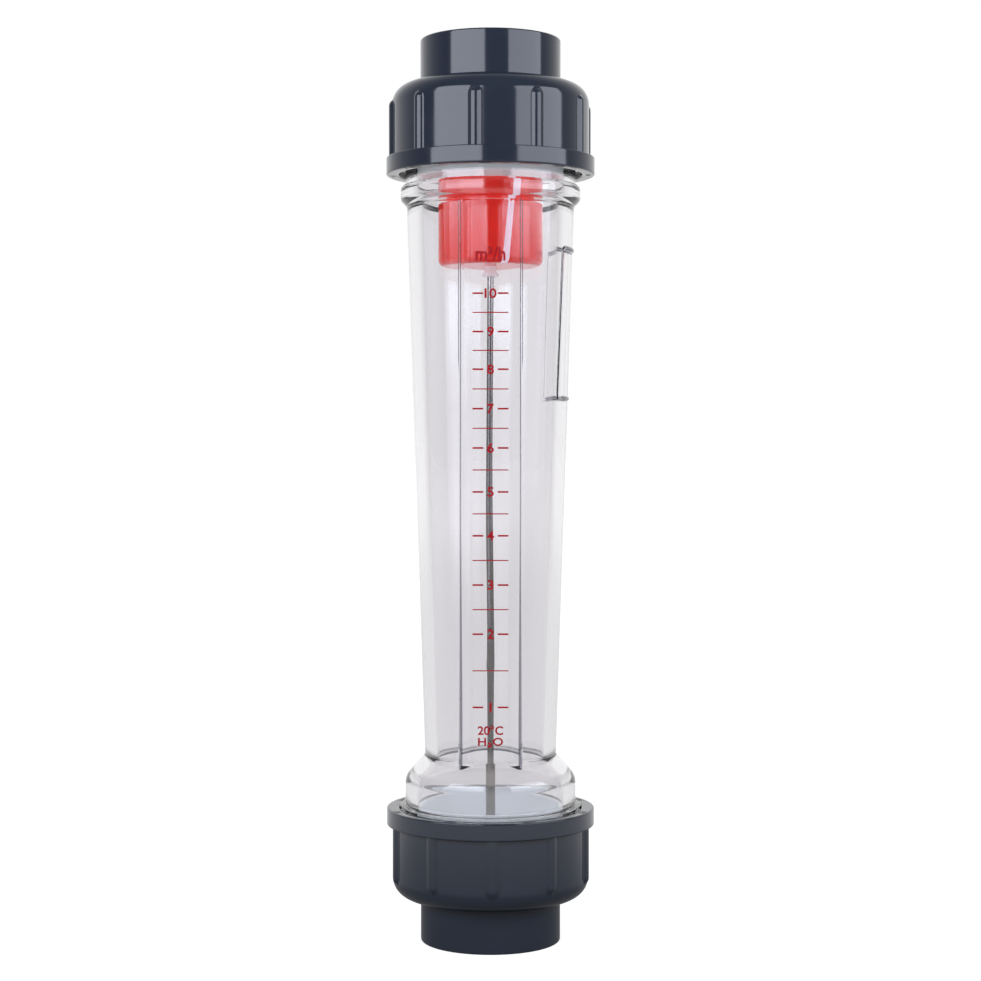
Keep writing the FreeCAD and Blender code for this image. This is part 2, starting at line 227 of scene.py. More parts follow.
add_soft_box("left_soft_box", -67, -9, 0.0)
add_soft_box("right_soft_box", 29, 89, 0.10, power=0.82)

# %% [markdown]
# ## Floor
#
# The floor is white and runs out of sight. It has to look white to the camera and hold the meter's
# shadow, so it is partly a lit surface and partly gives off its own white. What the clear tube and the
# gloss see of it is like the floor of a dark studio in front of the meter and like a lit one behind it.
# Far away it takes the brightness of the room in the same direction, so that no horizon shows.

# %% Floor
floor_lit = 0.30
floor_glow_seen = 0.86
floor_glow_through = (0.10, 0.76)       # near the meter: in front and behind
floor_glow_mirrored = (0.16, 0.80)      # under the meter and a little away from it
floor_bounce = 0.25             # share of the lit floor's light that reaches the meter
floor_size = 60
floor_foot = 0.1
floor_near = 0.4
floor_white = 2.5               # from here on the camera sees plain white
floor_far = 7.0                 # from here on the floor has the room's brightness


def make_floor():
    bpy.ops.mesh.primitive_plane_add(size=floor_size)
    floor = bpy.context.object
    floor.name = "floor"
    material = bpy.data.materials.new("white_floor")
    material.use_nodes = True
    tree = material.node_tree
    tree.nodes.clear()
    rays = tree.nodes.new("ShaderNodeLightPath")
    place = tree.nodes.new("ShaderNodeNewGeometry")
    around = value_node(tree, "ShaderNodeGroup", node_tree=room_group)
    tree.links.new(place.outputs["Position"], around.inputs["Direction"])
    away = value_node(tree, "ShaderNodeVectorMath", place.outputs["Position"], operation="LENGTH")
    split = value_node(tree, "ShaderNodeSeparateXYZ", place.outputs["Position"])
    seen = value_node(tree, "ShaderNodeMapRange", away.outputs["Value"], floor_near, floor_white,
                      floor_glow_seen, 1.0)
    total = value_node(tree, "ShaderNodeMath", rays.outputs["Is Camera Ray"], seen.outputs[0],
                       operation="MULTIPLY")
    far = value_node(tree, "ShaderNodeMapRange", away.outputs["Value"], floor_near, floor_far,
                     interpolation_type="SMOOTHSTEP")
    for ray, distance, low, high, values in (
            ("Is Transmission Ray", split.outputs["Y"], -floor_near, floor_near, floor_glow_through),
            ("Is Glossy Ray", away.outputs["Value"], floor_foot, floor_near, floor_glow_mirrored)):
        near = value_node(tree, "ShaderNodeMapRange", distance, low, high, *values)
        mixed = value_node(tree, "ShaderNodeMix", far.outputs[0], None, near.outputs[0],
                           around.outputs[0])
        glow = value_node(tree, "ShaderNodeMath", rays.outputs[ray], mixed.outputs[0], operation="MULTIPLY")
        total = value_node(tree, "ShaderNodeMath", total.outputs[0], glow.outputs[0], operation="MAXIMUM")
    emission = value_node(tree, "ShaderNodeEmission", (1, 1, 1, 1), total.outputs[0])
    lit = value_node(tree, "ShaderNodeMapRange", rays.outputs["Is Camera Ray"], 0.0, 1.0,
                     floor_bounce * floor_lit, floor_lit)
    diffuse = value_node(tree, "ShaderNodeBsdfDiffuse", lit.outputs[0])
    both = value_node(tree, "ShaderNodeAddShader", emission.outputs[0], diffuse.outputs[0])
    out = tree.nodes.new("ShaderNodeOutputMaterial")
    tree.links.new(both.outputs[0], out.inputs["Surface"])
    floor.data.materials.append(material)
    print("floor", floor.name)


make_floor()

# %% [markdown]
# ## The finish of a moulding
#
# Every plastic piece here came out of a polished mould. Such a surface isn't perfectly flat: it has long
# shallow waves where the plastic shrank, a very fine grain, and gloss that varies a little. One node
# group makes all three from noise, so that each plastic only says how strong they are. The group hands
# out plain values, and the shader that uses them stays in each material, because the model's export
# can't read a shader inside a group.

# %% Node group: moulded finish
moulding_inputs = {
    "Wave Height": 0.0, "Wave Size": 0.02, "Grain Height": 0.0, "Grain Size": 0.0005,
    "Roughness": 0.2, "Roughness Spread": 0.0,
}


def centred_noise(tree, place, size, detail):
    """Noise between about -0.5 and 0.5, with features of the given size in metres."""
    scale = value_node(tree, "ShaderNodeMath", 1.0, size, operation="DIVIDE")
    noise = value_node(tree, "ShaderNodeTexNoise", place, None, scale.outputs[0], detail)
    return value_node(tree, "ShaderNodeMath", noise.outputs["Fac"], 0.5, operation="SUBTRACT").outputs[0]


def make_moulded_finish():
    group, given, result = new_group("moulded_finish", moulding_inputs, ("Height", "Roughness", "Shade"))
    place = group.nodes.new("ShaderNodeTexCoord").outputs["Object"]
    wave = centred_noise(group, place, given.outputs["Wave Size"], 1.0)
    grain = centred_noise(group, place, given.outputs["Grain Size"], 2.0)
    waves = value_node(group, "ShaderNodeMath", wave, given.outputs["Wave Height"], operation="MULTIPLY")
    height = value_node(group, "ShaderNodeMath", grain, given.outputs["Grain Height"], waves.outputs[0],
                        operation="MULTIPLY_ADD")
    group.links.new(height.outputs[0], result.inputs["Height"])
    patches = centred_noise(group, place, given.outputs["Wave Size"], 4.0)
    roughness = value_node(group, "ShaderNodeMath", patches, given.outputs["Roughness Spread"],
                           given.outputs["Roughness"], operation="MULTIPLY_ADD")
    group.links.new(roughness.outputs[0], result.inputs["Roughness"])
    shade = value_node(group, "ShaderNodeMath", patches, 0.5, operation="ADD", use_clamp=True)
    group.links.new(shade.outputs[0], result.inputs["Shade"])
    print("group", group.name)
    return group


moulded_finish = make_moulded_finish()

# %% [markdown]
# ## Plastics, rubber and ink
#
# The unions are dark blue-grey PVC, the float is red, the rod guides and bushes are a pale plastic, and
# the seals are rubber. They differ in two close colours, in gloss and in how coarse their grain is,
# so one function makes them all from the same group.

# %% Material helpers


def mix_colours(tree, factor, first, second):
    """A colour between two others, as far as factor says."""
    mix = tree.nodes.new("ShaderNodeMix")
    mix.data_type = "RGBA"
    mix.inputs["A"].default_value = (*first, 1)
    mix.inputs["B"].default_value = (*second, 1)
    tree.links.new(factor, mix.inputs["Factor"])
    return mix.outputs["Result"]


def add_bump(tree, height, distance=1.0):
    """Feeds a height to the surface's normal."""
    bump = tree.nodes.new("ShaderNodeBump")
    bump.inputs["Distance"].default_value = distance
    tree.links.new(height, bump.inputs["Height"])
    tree.links.new(bump.outputs["Normal"], tree.nodes["Principled BSDF"].inputs["Normal"])


def add_finish(tree, **finish):
    """The moulded finish with its own strengths, given as Wave_Height and so on."""
    surface = tree.nodes.new("ShaderNodeGroup")
    surface.node_tree = moulded_finish
    for socket, value in finish.items():
        surface.inputs[socket.replace("_", " ")].default_value = value
    add_bump(tree, surface.outputs["Height"])
    return surface


def new_material(name):
    material = bpy.data.materials.new(name)
    material.use_nodes = True
    print("material", material.name)
    return material


# %% Opaque plastics


def opaque(name, colour, second_colour, **finish):
    """A plastic or rubber whose colour varies softly between two close ones."""
    material = new_material(name)
    tree = material.node_tree
    shader = tree.nodes["Principled BSDF"]
    surface = add_finish(tree, **finish)
    colour = mix_colours(tree, surface.outputs["Shade"], colour, second_colour)
    tree.links.new(colour, shader.inputs["Base Color"])
    tree.links.new(surface.outputs["Roughness"], shader.inputs["Roughness"])
    return material


dark_plastic = opaque(
    "dark_plastic", (0.021, 0.027, 0.041), (0.026, 0.033, 0.049), Wave_Height=5e-6, Wave_Size=0.02,
    Grain_Height=4e-7, Grain_Size=0.0004, Roughness=0.11, Roughness_Spread=0.08)
red_plastic = opaque(
    "red_plastic", (0.95, 0.018, 0.010), (0.98, 0.023, 0.013), Wave_Height=4e-6, Wave_Size=0.012,
    Grain_Height=3e-7, Grain_Size=0.0004, Roughness=0.13, Roughness_Spread=0.08)
pale_plastic = opaque(
    "pale_plastic", (0.93, 0.90, 0.93), (0.95, 0.93, 0.95), Wave_Height=4e-6, Wave_Size=0.01,
    Grain_Height=5e-7, Grain_Size=0.0005, Roughness=0.17, Roughness_Spread=0.1)
# Pale pink-white of the float's grooves: a painted highlight of the bright streak along them.
pale_groove_sheen = opaque(
    "pale_groove_sheen", (0.94, 0.84, 0.90), (0.96, 0.87, 0.92), Wave_Height=2e-6, Wave_Size=0.01,
    Grain_Height=5e-7, Grain_Size=0.0005, Roughness=0.25, Roughness_Spread=0.1)
rubber = opaque(
    "rubber", (0.014, 0.014, 0.014), (0.022, 0.021, 0.020), Wave_Height=6e-6, Wave_Size=0.006,
    Grain_Height=3e-6, Grain_Size=0.0004, Roughness=0.62, Roughness_Spread=0.15)
scale_ink = opaque(
    "scale_ink", (0.38, 0.002, 0.008), (0.42, 0.003, 0.010), Wave_Height=0.0, Wave_Size=0.002,
    Grain_Height=1e-6, Grain_Size=0.0002, Roughness=0.50, Roughness_Spread=0.1)
scale_ink.node_tree.nodes["Principled BSDF"].inputs["Specular IOR Level"].default_value = 0.25

# %% [markdown]
# ## Glow of three plastics
#
# Three plastics render darker than the real ones do in front of a white wall, most likely because light
# gets through them. A weak glow in each plastic's own colour stands in for that. It also means that these
# pieces come out too bright in a dim scene.

# %% Glow
glow_of = (
    # The grooves' glow adds to their painted highlight.
    (pale_groove_sheen, (1.0, 0.78, 0.88), 0.20),
    (red_plastic, (1.0, 0.03, 0.02), 0.13),
    (pale_plastic, (0.82, 0.97, 1.0), 0.18),
)
for material, colour, strength in glow_of:
    shader = material.node_tree.nodes["Principled BSDF"]
    shader.inputs["Emission Color"].default_value = (*colour, 1)
    shader.inputs["Emission Strength"].default_value = strength
    print(material.name, "glows with strength", strength)

# %% [markdown]
# ## Clear plastic
#
# The tube is clear moulded plastic with a faint lilac tone. Light that crosses a wall loses a little at
# both of its faces, so the tint on the shader is weak and the thick ends still come out darker than the
# middle. The same shallow waves as on the other plastics bend what is seen through the wall a little.
#
# Fine dark lines show along the scale strip, at both ends of the type plate and at the foot of the bore,
# where the clear edges bend light from the dim room in front towards the camera. The mesh alone shows them
# too faintly here, so they are painted shade: a dark tint on the clear plastic, set by the place on the
# piece. Seen from the side, the low part of the strip's side face comes out dark as well.

# %% Lines in the corners
strip_line_side = 15.3              # from the middle of the scale strip
strip_line_front = -30.0
strip_line_ends = (95.5, 388.5)
strip_line_heights = (120.0, 220.0)
strip_line_half_widths = (0.60, 0.17)   # at these heights
plate_line_heights = (287.3, 365.1)
plate_line_half_width = 0.8
plate_line_reach = 20.7
plate_line_side = 37.0
bore_line_height = 97.4
bore_line_half_width = 0.45
bore_line_radius = 29.4
bore_line_front = -4.0


def over(tree, value, limit):
    """1 where value is more than limit, which is in millimetres, and 0 elsewhere."""
    return value_node(tree, "ShaderNodeMath", value, limit * MM, operation="GREATER_THAN").outputs[0]


def under(tree, value, limit):
    return value_node(tree, "ShaderNodeMath", value, limit * MM, operation="LESS_THAN").outputs[0]


def size_of(tree, value):
    return value_node(tree, "ShaderNodeMath", value, operation="ABSOLUTE").outputs[0]


def line(tree, value, middle, half_width):
    """1 within half_width (metres) of the middle (millimetres), falling to 0 at twice that."""
    off = value_node(tree, "ShaderNodeMath", value, middle * MM, operation="SUBTRACT")
    share = value_node(tree, "ShaderNodeMath", size_of(tree, off.outputs[0]), half_width, operation="DIVIDE")
    return value_node(tree, "ShaderNodeMapRange", share.outputs[0], 1.0, 2.0, 1.0, 0.0).outputs[0]


def combine_masks(tree, operation, *masks):
    """MULTIPLY keeps what all masks share, and MAXIMUM joins them."""
    total = masks[0]
    for mask in masks[1:]:
        total = value_node(tree, "ShaderNodeMath", total, mask, operation=operation).outputs[0]
    return total


def corner_lines(tree):
    """Mask of the painted shade along the dark lines, on the piece's own coordinates."""
    place = tree.nodes.new("ShaderNodeTexCoord").outputs["Object"]
    x, y, z = value_node(tree, "ShaderNodeSeparateXYZ", place).outputs
    low, high = (height * MM for height in strip_line_heights)
    wide, thin = (width * MM for width in strip_line_half_widths)
    half_width = value_node(tree, "ShaderNodeMapRange", z, low, high, wide, thin).outputs[0]
    strip_foot, strip_top = strip_line_ends
    strip = combine_masks(
        tree, "MULTIPLY", line(tree, size_of(tree, x), strip_line_side, half_width),
        under(tree, y, strip_line_front), over(tree, z, strip_foot), under(tree, z, strip_top))
    ends = [line(tree, z, height, plate_line_half_width * MM) for height in plate_line_heights]
    plate = combine_masks(
        tree, "MULTIPLY", combine_masks(tree, "MAXIMUM", *ends), over(tree, x, plate_line_side),
        under(tree, size_of(tree, y), plate_line_reach))
    flat = value_node(tree, "ShaderNodeCombineXYZ", x, y, 0.0)
    radius = value_node(tree, "ShaderNodeVectorMath", flat.outputs[0], operation="LENGTH")
    bore = combine_masks(
        tree, "MULTIPLY", line(tree, z, bore_line_height, bore_line_half_width * MM),
        under(tree, radius.outputs["Value"], bore_line_radius), over(tree, y, bore_line_front))
    return combine_masks(tree, "MAXIMUM", strip, plate, bore)


# %% Clear plastic
clear_tint = (0.880, 0.868, 0.888)
# The colour of the painted shade along the dark lines of bent light.
painted_line_shade = (0.08, 0.08, 0.11)
clear_index = 1.49


def make_clear_plastic():
    material = new_material("clear_plastic")
    tree = material.node_tree
    shader = tree.nodes["Principled BSDF"]
    # The tint carries the painted shade of the dark lines.
    tint = mix_colours(tree, corner_lines(tree), clear_tint, painted_line_shade)
    tree.links.new(tint, shader.inputs["Base Color"])
    shader.inputs["Roughness"].default_value = 0.0
    shader.inputs["IOR"].default_value = clear_index
    shader.inputs["Transmission Weight"].default_value = 1.0
    add_finish(tree, Wave_Height=5e-6, Wave_Size=0.016)
    return material


clear_plastic = make_clear_plastic()

# %% [markdown]
# ## Ground steel
#
# The rod is taken to be ground to size between wheels, which leaves very fine rings round it. Noise that
# is stretched round the piece and squeezed along it gives these rings, both in the height and in the gloss.
# The real rod looks darker over its low part, much like the dim room in front mirrored there; what makes it
# so isn't known. A ramp of brightness along the rod stands in for it as painted shade.

# %% Ground steel
steel_tones = ((0.42, 0.40, 0.385), (0.47, 0.45, 0.43))
ring_scale = (60, 60, 2500)
ring_height = 3e-7
steel_reach = 400.0             # up to here, above the rod's end
# Stops of the painted shade along the rod: height and brightness.
steel_painted_shade = ((88.0, 1.0), (100.0, 0.34), (168.0, 0.38), (320.0, 1.0))      # height and brightness


def make_steel():
    material = new_material("ground_steel")
    tree = material.node_tree
    shader = tree.nodes["Principled BSDF"]
    shader.inputs["Metallic"].default_value = 1.0
    place = tree.nodes.new("ShaderNodeTexCoord")
    squeeze = value_node(tree, "ShaderNodeMapping", place.outputs["Object"])
    squeeze.inputs["Scale"].default_value = ring_scale
    rings = value_node(tree, "ShaderNodeTexNoise", squeeze.outputs[0], None, 1.0, 3.0)
    patches = value_node(tree, "ShaderNodeTexNoise", place.outputs["Object"], None, 60.0, 2.0)
    roughness = value_node(tree, "ShaderNodeMapRange", rings.outputs["Fac"], 0.3, 0.7, 0.05, 0.09)
    tree.links.new(roughness.outputs[0], shader.inputs["Roughness"])
    tone = mix_colours(tree, patches.outputs["Fac"], *steel_tones)
    split = value_node(tree, "ShaderNodeSeparateXYZ", place.outputs["Object"])
    height = value_node(tree, "ShaderNodeMapRange", split.outputs["Z"], 0.0, steel_reach * MM, 0.0, 1.0)
    # The ramp darkens the steel's colour: painted shade.
    rod_shade = grey_ramp(tree, height.outputs[0], [(z / steel_reach, value) for z, value in steel_painted_shade])
    shaded_tone = value_node(tree, "ShaderNodeVectorMath", tone, rod_shade, operation="MULTIPLY")
    tree.links.new(shaded_tone.outputs[0], shader.inputs["Base Color"])
    add_bump(tree, rings.outputs["Fac"], ring_height)
    return material


ground_steel = make_steel()

# %% [markdown]
# ## Finish of the carried-over pieces
#
# The small inner pieces keep the shape that the engineering model gives them: they are plain turned
# parts, and most of them hide in the unions. They only get their material.

# %% Carried-over pieces
finish_of = {
    ground_steel: ("guide_rod", "float_core", "lower_rod_washer", "upper_rod_washer", "lower_rod_nut",
                   "upper_rod_nut"),
    pale_plastic: ("lower_rod_guide", "upper_rod_guide", "upper_stop_sleeve", "lower_float_bush",
                   "upper_float_bush"),
    rubber: ("lower_float_buffer", "lower_o_ring", "upper_o_ring"),
}
for material, names in finish_of.items():
    for name in names:
        slots = nodes[name].data.materials
        slots.clear()
        slots.append(material)
    print(material.name, "on", len(names), "nodes")

# %% [markdown]
# ## Turned pieces
#
# Nearly everything on this meter is round. Each such piece is drawn as half of its section: corner
# points, some with a rounding. Bevelling a single vertex of that flat face rounds its corner, and a spin
# about Z turns the outline into a surface. A short edge is split off at both ends of every long one
# before the spin, so that the smooth shading of a rounding doesn't spread over the flat beside it.
# A spin of many steps is slow, so only one sector is spun, and copies of it double four times.

# %% Turned pieces
turn_steps = 256
turn_sectors = 16
support = 0.4


def turned(points, steps=turn_steps):
    """A closed form turned about Z from (radius, height) or (radius, height, rounding) points."""
    bm = bmesh.new()
    corners = [bm.verts.new((p[0] * MM, 0, p[1] * MM)) for p in points]
    bm.faces.new(corners)
    for corner, p in zip(corners, points):
        if len(p) == 3:
            bmesh.ops.bevel(bm, geom=[corner], offset=p[2] * MM, offset_type="OFFSET",
                            segments=max(4, round(2.5 * p[2])), profile=0.5, affect="VERTICES", material=-1)
    for edge in list(bm.edges):
        if edge.calc_length() > 3 * MM:
            for end in edge.verts[:]:
                bmesh.utils.edge_split(edge, end, support * MM / edge.calc_length())
    bmesh.ops.delete(bm, geom=list(bm.faces), context="FACES_KEEP_BOUNDARY")
    sector = 2 * math.pi / turn_sectors
    bmesh.ops.spin(bm, geom=bm.verts[:] + bm.edges[:], cent=(0, 0, 0), axis=(0, 0, 1), dvec=(0, 0, 0),
                   angle=sector, steps=steps // turn_sectors, use_merge=False, use_duplicate=False)
    count = 1
    while count < turn_sectors:
        copy = bmesh.ops.duplicate(bm, geom=bm.verts[:] + bm.edges[:] + bm.faces[:])["geom"]
        bmesh.ops.rotate(bm, verts=[v for v in copy if isinstance(v, bmesh.types.BMVert)], cent=(0, 0, 0),
                         matrix=Matrix.Rotation(count * sector, 3, "Z"))
        count *= 2
    bmesh.ops.remove_doubles(bm, verts=bm.verts, dist=1e-6)
    bmesh.ops.recalc_face_normals(bm, faces=bm.faces)
    return bm


def as_object(bm, name):
    """Turns a bmesh into an object at the origin."""
    mesh = bpy.data.meshes.new(name)
    bm.to_mesh(mesh)
    bm.free()
    obj = bpy.data.objects.new(name, mesh)
    bpy.context.collection.objects.link(obj)
    return obj


def finish_piece(obj, material, body, slot, *replaced, smooth_angle=30):
    """Shades a piece, gives it its material, and ties it to the body that it moves with."""
    mesh = obj.data
    mesh.shade_smooth()
    mesh.set_sharp_from_angle(angle=math.radians(smooth_angle))
    mesh.materials.clear()
    mesh.materials.append(material)
    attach(obj, body)
    if replaced:
        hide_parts(*replaced)
    print(obj.name, len(mesh.polygons), "faces")


def upper_end(angle=0.0):
    """The place of a lower end's piece turned over for the upper end, then turned about Z."""
    turn = Matrix.Rotation(math.radians(180 + angle), 4, "Z")
    return turn @ Matrix.Translation((0, 0, cad_high[2])) @ Matrix.Rotation(math.pi, 4, "X")


# %% [markdown]
# ## Pipe sockets
#
# A tailpiece is a socket for the pipe and a wide collar, which hides in the nut. It is a plain turned
# piece. The rim that shows has a small rounding, as the mould leaves it, and a chamfer for the pipe.

# %% Pipe sockets
socket_radius = 31.6
socket_depth = 38.0
socket_lead_in = 1.0
flow_radius = 27.0
tail_radius = 37.0
collar_seat = 30.5
collar_radius = 47.1
joint_face = 42.5
seal_inside = 41.5
seal_outside = 45.3
seal_floor = 39.6
tailpiece_outline = [
    (socket_radius + socket_lead_in, 0, 0.3), (tail_radius, 0, 0.9), (tail_radius, collar_seat),
    (collar_radius, collar_seat, 0.8), (collar_radius, joint_face, 0.4), (seal_outside, joint_face),
    (seal_outside, seal_floor), (seal_inside, seal_floor), (seal_inside, joint_face),
    (flow_radius, joint_face, 1.0), (flow_radius, socket_depth), (socket_radius, socket_depth),
    (socket_radius, socket_lead_in, 0.3),
]


def make_tailpiece(end, place):
    bm = turned(tailpiece_outline)
    bmesh.ops.transform(bm, matrix=place, verts=bm.verts)
    piece = as_object(bm, end + "_pipe_socket")
    finish_piece(piece, dark_plastic, end + "_tailpiece", "dark_plastic", end + "_tailpiece")


make_tailpiece("lower", Matrix.Identity(4))
make_tailpiece("upper", upper_end())

# %% [markdown]
# ## Union nuts
#
# The nut is a turned shell with ten ribs for the hand, a domed shoulder, and a wide lip whose rim has
# eight moulded pockets. The ribs have no sharp foot: they run into the wall in a small hollow. So they
# aren't separate bars. The wall is spun in fine steps and its vertices are pushed out to a half-round
# rib, with a smooth maximum of the two radii, which makes that hollow by itself. The pockets are faces
# of the rim that are pushed in.

# %% Nut shell
nut_height = 47.5
nut_radius = 52.0
nut_bore_radius = 48.3
nut_hole_radius = 37.3
nut_end_wall = 7.0
nut_end_round = 10.5
lip_radius = 55.0
lip_foot = 38.5
pocket_middle = 51.65
pocket_width = 2.6
pocket_length = 6.4
pocket_depth = 6.0
pocket_phase = 21.6
pocket_pitch = 45.0
nut_steps = 720


def nut_outline():
    """The nut's section. The wall's extra points give the ribs' rounded ends enough faces."""
    wall = [(nut_radius, z) for z in (11.3, 12.1, 13.5, 16.5, 20.0, 23.5, 27.0, 30.5, 34.0)]
    return [(nut_hole_radius, 0, 0.5), (nut_radius, 0, nut_end_round)] + wall + [
        (nut_radius, lip_foot, 0.5), (lip_radius, lip_foot, 0.5), (lip_radius, nut_height, 0.7),
        (pocket_middle + pocket_width / 2, nut_height), (pocket_middle - pocket_width / 2, nut_height),
        (nut_bore_radius, nut_height, 0.8), (nut_bore_radius, nut_end_wall, 1.0),
        (nut_hole_radius, nut_end_wall),
    ]


def press_pockets(bm):
    half_angle = math.degrees(pocket_length / 2 / pocket_middle)
    pressed = []
    for face in bm.faces:
        middle = face.calc_center_median() / MM
        off_middle = abs(math.hypot(middle.x, middle.y) - pocket_middle)
        if middle.z > nut_height - 0.01 and off_middle < pocket_width / 2:
            angle = (math.degrees(math.atan2(middle.x, -middle.y)) - pocket_phase) % pocket_pitch
            if min(angle, pocket_pitch - angle) < half_angle:
                pressed.append(face)
    moved = bmesh.ops.extrude_face_region(bm, geom=pressed)["geom"]
    floor = [v for v in moved if isinstance(v, bmesh.types.BMVert)]
    bmesh.ops.translate(bm, verts=floor, vec=(0, 0, -pocket_depth * MM))


# %% Nut ribs
rib_radius = 3.6
rib_rise = 1.9
rib_end_gap = 8.5
rib_hollow = 0.5
rib_pitch = math.radians(36.0)


def smooth_maximum(a, b, width):
    share = max(width - abs(a - b), 0.0) / width
    return max(a, b) + share * share * width / 4


def raise_ribs(bm):
    centre = nut_radius + rib_rise - rib_radius
    tip = rib_end_gap + rib_radius
    for vert in bm.verts:
        radius = math.hypot(vert.co.x, vert.co.y) / MM
        height = vert.co.z / MM
        if radius < centre + 0.5 or height > lip_foot + 0.01:
            continue
        offset = (math.atan2(vert.co.x, -vert.co.y) + rib_pitch / 2) % rib_pitch - rib_pitch / 2
        reach = rib_radius ** 2 - (centre * math.sin(offset)) ** 2 - max(0.0, tip - height) ** 2
        if reach > 0:
            rib = centre * math.cos(offset) + math.sqrt(reach)
            share = smooth_maximum(radius, rib, rib_hollow) / radius
            vert.co.x *= share
            vert.co.y *= share


def make_nut(end, place):
    bm = turned(nut_outline(), nut_steps)
    press_pockets(bm)
    raise_ribs(bm)
    bmesh.ops.recalc_face_normals(bm, faces=bm.faces)
    bmesh.ops.transform(bm, matrix=place, verts=bm.verts)
    piece = as_object(bm, end + "_ribbed_nut")
    finish_piece(piece, dark_plastic, end + "_nut", "dark_plastic", end + "_union_nut", smooth_angle=40)


# %% Both nuts
lower_nut_angle = 0.9
upper_nut_angle = 63.1
nut_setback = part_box("lower_union_nut")[0][2]
lift_nut = Matrix.Translation((0, 0, nut_setback))
make_nut("lower", Matrix.Rotation(math.radians(lower_nut_angle), 4, "Z") @ lift_nut)
make_nut("upper", upper_end(upper_nut_angle) @ lift_nut)

# %% [markdown]
# ## The float
#
# The float is a red cup with a neck and a red disc on top, read at the disc's upper edge. Two leaning
# grooves make it spin in the flow. Their faces get a pale pink-white colour that paints in the bright
# streak of reflected light seen along them: a painted highlight.
# Each groove is a block that is swept up while it turns, and a boolean takes it out of the red pieces.

# %% Boolean helper


def combine(body, other, operation):
    """Joins other to body or cuts it away, and removes other."""
    modifier = body.modifiers.new("combine", "BOOLEAN")
    modifier.operation = operation
    modifier.solver = "MANIFOLD"
    modifier.object = other
    graph = bpy.context.evaluated_depsgraph_get()
    mesh = bpy.data.meshes.new_from_object(body.evaluated_get(graph))
    body.modifiers.clear()
    old = body.data
    body.data = mesh
    bpy.data.meshes.remove(old)
    bpy.data.objects.remove(other)


# %% Float
float_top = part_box("float_head")[1][2] / MM
float_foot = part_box("float_body")[0][2] / MM
float_radius = 27.6
float_neck_radius = 23.2
float_head_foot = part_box("float_head")[0][2] / MM
float_neck_height = 4.3
float_neck_foot = float_head_foot - float_neck_height
float_bore = 4.7
core_room = 20.7
groove_width = 4.2
groove_depth = 5.0
groove_foot_angle = 17.5
groove_top_angle = 29.5
cup_foot = float_foot + 3.8     # the cup is a little shorter than the engineering model's
cup_floor = 0.7


def groove_block(start):
    """The block that one groove takes away: it leans because it turns as it is swept up."""
    bm = bmesh.new()
    floor = -(float_radius - groove_depth)
    outside = -(float_radius + groove_depth)
    half = groove_width / 2
    outline = [(-half, floor), (half, floor), (half, outside), (-half, outside)]
    face = bm.faces.new([bm.verts.new((x * MM, y * MM, float_foot * MM)) for x, y in outline])
    steps = 24
    lift = (float_top - float_foot) * MM / steps
    bmesh.ops.rotate(bm, verts=bm.verts, cent=(0, 0, 0),
                     matrix=Matrix.Rotation(math.radians(start + groove_foot_angle), 3, "Z"))
    bmesh.ops.spin(bm, geom=bm.verts[:] + bm.edges[:] + [face], cent=(0, 0, 0), axis=(0, 0, 1),
                   dvec=(0, 0, lift), angle=math.radians(groove_top_angle - groove_foot_angle), steps=steps,
                   use_merge=False, use_duplicate=False)
    bmesh.ops.recalc_face_normals(bm, faces=bm.faces)
    return as_object(bm, "groove_block")


def in_groove(point):
    """Whether a point is in one of the two grooves, or on their walls."""
    share = (point.z - float_foot) / (float_top - float_foot)
    angle = math.radians(groove_foot_angle + share * (groove_top_angle - groove_foot_angle))
    across = point.x * math.cos(angle) + point.y * math.sin(angle)
    outwards = abs(point.x * math.sin(angle) - point.y * math.cos(angle))
    return abs(across) < groove_width / 2 + 0.02 and outwards > float_radius - groove_depth - 0.02


def make_float_piece(name, outline, node):
    piece = as_object(turned(outline), name)
    for start in (0, 180):
        combine(piece, groove_block(start), "DIFFERENCE")
    finish_piece(piece, red_plastic, "float", "red_plastic", node)
    # The faces in the grooves get the pale colour: a painted highlight.
    piece.data.materials.append(pale_groove_sheen)
    for face in piece.data.polygons:
        if in_groove(face.center / MM):
            face.material_index = 1


make_float_piece("red_float_cup", [
    (float_bore, cup_foot, 0.4), (float_radius, cup_foot, 3.0), (float_radius, float_neck_foot, 0.6),
    (float_neck_radius, float_neck_foot), (float_neck_radius, float_head_foot), (core_room, float_head_foot),
    (core_room, cup_foot + cup_floor), (float_bore, cup_foot + cup_floor),
], "float_body")
make_float_piece("red_float_disc", [
    (float_bore, float_head_foot), (float_radius, float_head_foot, 0.8), (float_radius, float_top, 0.8),
    (float_bore, float_top, 0.4),
], "float_head")

# %% [markdown]
# ## Clear tube: the turned form
#
# The tube is the piece that shows most, and what is seen through it depends on its true section: the
# threads at both ends, the flared foot, the wall that tapers and the bead under the upper nut. The thread
# is left as plain rings, because its lead of one pitch in a turn can't be seen in the nut.

